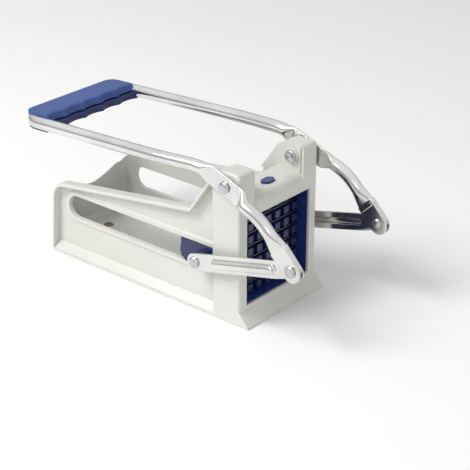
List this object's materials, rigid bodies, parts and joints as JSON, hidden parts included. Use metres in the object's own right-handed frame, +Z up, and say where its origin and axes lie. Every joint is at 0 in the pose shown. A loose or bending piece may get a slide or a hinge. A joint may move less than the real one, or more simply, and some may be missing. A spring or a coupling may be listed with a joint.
{
  "type": "lever french fry cutter",
  "caption": "Hand-lever french fry cutter: white trough body, U-shaped chromed lever with blue grip, side links, studded pusher and a blue blade cassette",
  "frame": {"origin": "on the table, midway along and across the whole cutter", "axes": "+X out of the cutting window, +Y to the cutter's left side, +Z up from the table"},
  "size_m": [0.2794, 0.1118, 0.1233],
  "materials": {
    "body_plastic": "semi-gloss cream-white moulding",
    "cassette_plastic": "bright blue moulding",
    "pusher_plastic": "dark blue moulding",
    "grip_plastic": "blue, fine-textured",
    "grip_under_plastic": "dark blue, fine-textured",
    "chromed_steel": "bright plated",
    "fixing_steel": "turned and lightly polished",
    "washer_steel": "plain zinc-grey",
    "blade_steel": "ground strip",
    "cup_rubber": "brown, soft"
  },
  "bodies": {
    "base": {"body_moulding": "body_plastic", "suction_cup_rear": "cup_rubber", "suction_cup_front": "cup_rubber", "cassette_frame": "cassette_plastic", "horizontal_blades": "blade_steel", "vertical_blades": "blade_steel", "pivot_pin_left": "fixing_steel", "pivot_pin_right": "fixing_steel", "pivot_washer_left": "washer_steel", "pivot_washer_right": "washer_steel"},
    "lever": {"lever_tube": "chromed_steel", "grip_upper_shell": "grip_plastic", "grip_lower_shell": "grip_under_plastic", "grip_screws": "fixing_steel", "front_rivet_left": "fixing_steel", "front_rivet_right": "fixing_steel"},
    "left_link": {"link_left": "chromed_steel", "rear_rivet_left": "fixing_steel"},
    "right_link": {"link_right": "chromed_steel", "rear_rivet_right": "fixing_steel"},
    "pusher": {"pusher_plate": "pusher_plastic", "pusher_carriage": "pusher_plastic", "runner_left": "pusher_plastic", "runner_right": "pusher_plastic"}
  },
  "joints": [
    {"name": "lever_pivot", "type": "hinge", "parent": "base", "child": "lever", "pos_m": [0.06755, 0, 0.1087], "axis": [0, 1, 0], "range_deg": [0, 100]},
    {"name": "left_link_pivot", "type": "hinge", "parent": "lever", "child": "left_link", "pos_m": [0.13045, 0.0508, 0.0653], "axis": [0, -1, 0], "range_deg": [0, 93]},
    {"name": "right_link_pivot", "type": "hinge", "parent": "lever", "child": "right_link", "pos_m": [0.13045, -0.0508, 0.0653], "axis": [0, -1, 0], "range_deg": [0, 93]},
    {"name": "pusher_slide", "type": "slide", "parent": "base", "child": "pusher", "axis": [-1, 0, 0], "range_m": [0, 0.11859]}
  ],
  "couplings": [
    {"joint": "left_link_pivot", "follows": "lever_pivot", "ratio": 0.93002},
    {"joint": "right_link_pivot", "follows": "lever_pivot", "ratio": 0.93002},
    {"joint": "pusher_slide", "follows": "lever_pivot", "m_per_rad": 0.067949}
  ]
}
